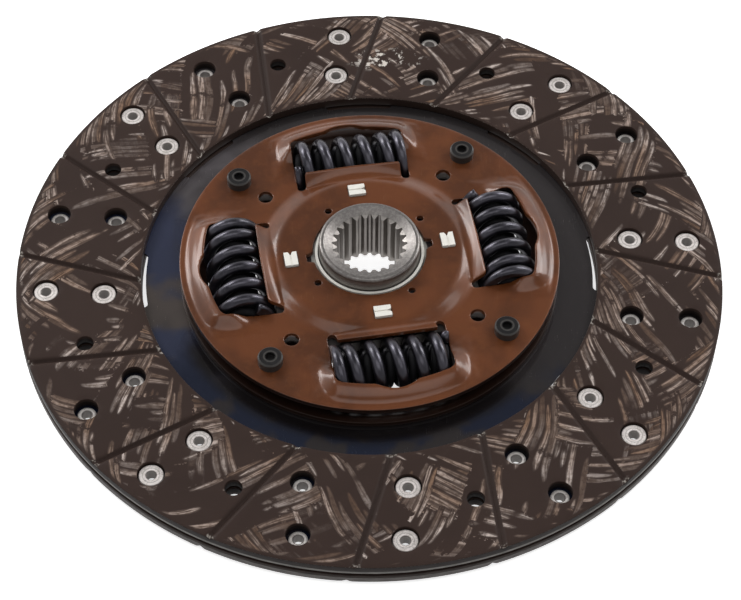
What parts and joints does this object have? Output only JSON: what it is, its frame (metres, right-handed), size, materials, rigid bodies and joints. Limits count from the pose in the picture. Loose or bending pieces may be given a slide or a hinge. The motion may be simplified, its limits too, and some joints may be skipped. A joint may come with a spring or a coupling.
{
  "type": "clutch disc",
  "caption": "Sprung clutch disc: two riveted friction rings on a cushion plate around a splined hub, with coil springs held in the windows of two retainer plates.",
  "frame": {"origin": "on the hub's axis at the hub's lower (flywheel-side) end", "axes": "+Z along the hub's axis towards the gearbox, +X to the right and +Y away in the reference view"},
  "size_m": [0.24, 0.24, 0.0232],
  "materials": {
    "friction_facing": "moulded woven-yarn friction lining, dry and fibrous",
    "rivet": "bright plated rivets, satin",
    "cushion_steel": "blued spring steel, oiled and glossy",
    "retainer": "copper-brown lacquer on pressed steel",
    "pin_steel": "black oxide, semi-gloss",
    "bush_plastic": "off-white friction plastic",
    "spring_steel": "black lacquered spring wire, glossy",
    "hub_steel": "machined steel"
  },
  "bodies": {
    "disc": {"facing_gearbox_side": "friction_facing", "facing_flywheel_side": "friction_facing", "facing_rivets_gearbox_side": "rivet", "facing_rivets_flywheel_side": "rivet", "cushion_plate": "cushion_steel", "retainer_plate_gearbox_side": "retainer", "retainer_plate_flywheel_side": "retainer", "stop_pin_1": "pin_steel", "stop_pin_2": "pin_steel", "stop_pin_3": "pin_steel", "stop_pin_4": "pin_steel", "friction_bush_gearbox_side": "bush_plastic", "cone_spring": "cushion_steel", "centring_bush_flywheel_side": "bush_plastic"},
    "springs": {"damper_spring_1": "spring_steel", "damper_spring_2": "spring_steel", "damper_spring_3": "spring_steel", "damper_spring_4": "spring_steel", "inner_spring_1": "spring_steel", "inner_spring_2": "spring_steel", "inner_spring_3": "spring_steel", "inner_spring_4": "spring_steel"},
    "hub": {"splined_hub": "hub_steel"}
  },
  "joints": [
    {"name": "hub_twist", "type": "hinge", "parent": "disc", "child": "hub", "pos_m": [0, 0, 0.011], "axis": [0, 0, 1], "range_deg": [-8, 8], "stiffness_Nm_per_rad": 5},
    {"name": "spring_travel", "type": "hinge", "parent": "disc", "child": "springs", "pos_m": [0, 0, 0.011], "axis": [0, 0, 1], "range_deg": [-4, 4], "deforming": ["damper_spring_1", "damper_spring_2", "damper_spring_3", "damper_spring_4", "inner_spring_1", "inner_spring_2", "inner_spring_3", "inner_spring_4"]}
  ],
  "couplings": [
    {"joint": "spring_travel", "follows": "hub_twist", "ratio": 0.5}
  ]
}
